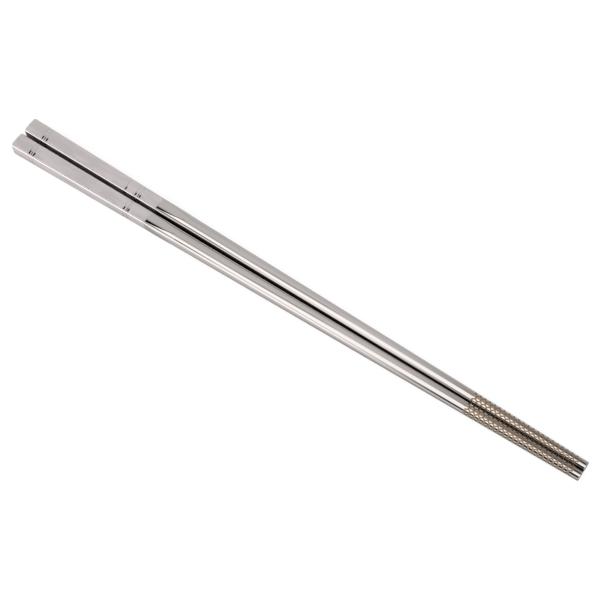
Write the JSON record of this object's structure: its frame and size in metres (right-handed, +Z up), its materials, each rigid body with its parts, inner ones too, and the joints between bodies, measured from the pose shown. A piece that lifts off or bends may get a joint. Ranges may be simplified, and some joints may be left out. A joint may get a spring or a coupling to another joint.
{
  "type": "pair of steel chopsticks",
  "caption": "Long tapered steel eating sticks, square and satin at the butt, round and polished to an etched grip behind the flat tip, lying side by side.",
  "frame": {"origin": "bottom centre of the pair's box, on the table under the gap between the sticks", "axes": "+X from the butts to the tips, +Y away from the near stick, +Z up from the table"},
  "size_m": [0.235, 0.0144, 0.0072],
  "materials": {
    "polished_steel": "bright polish on the shoulder, shaft, pads and tip",
    "satin_steel": "fine satin on the square handle, with thin bright turned lines",
    "etched_steel": "dull brownish grey etched ground between the pads of the grip"
  },
  "bodies": {
    "root": {"near_chopstick": "polished_steel", "far_chopstick": "polished_steel"}
  },
  "joints": []
}
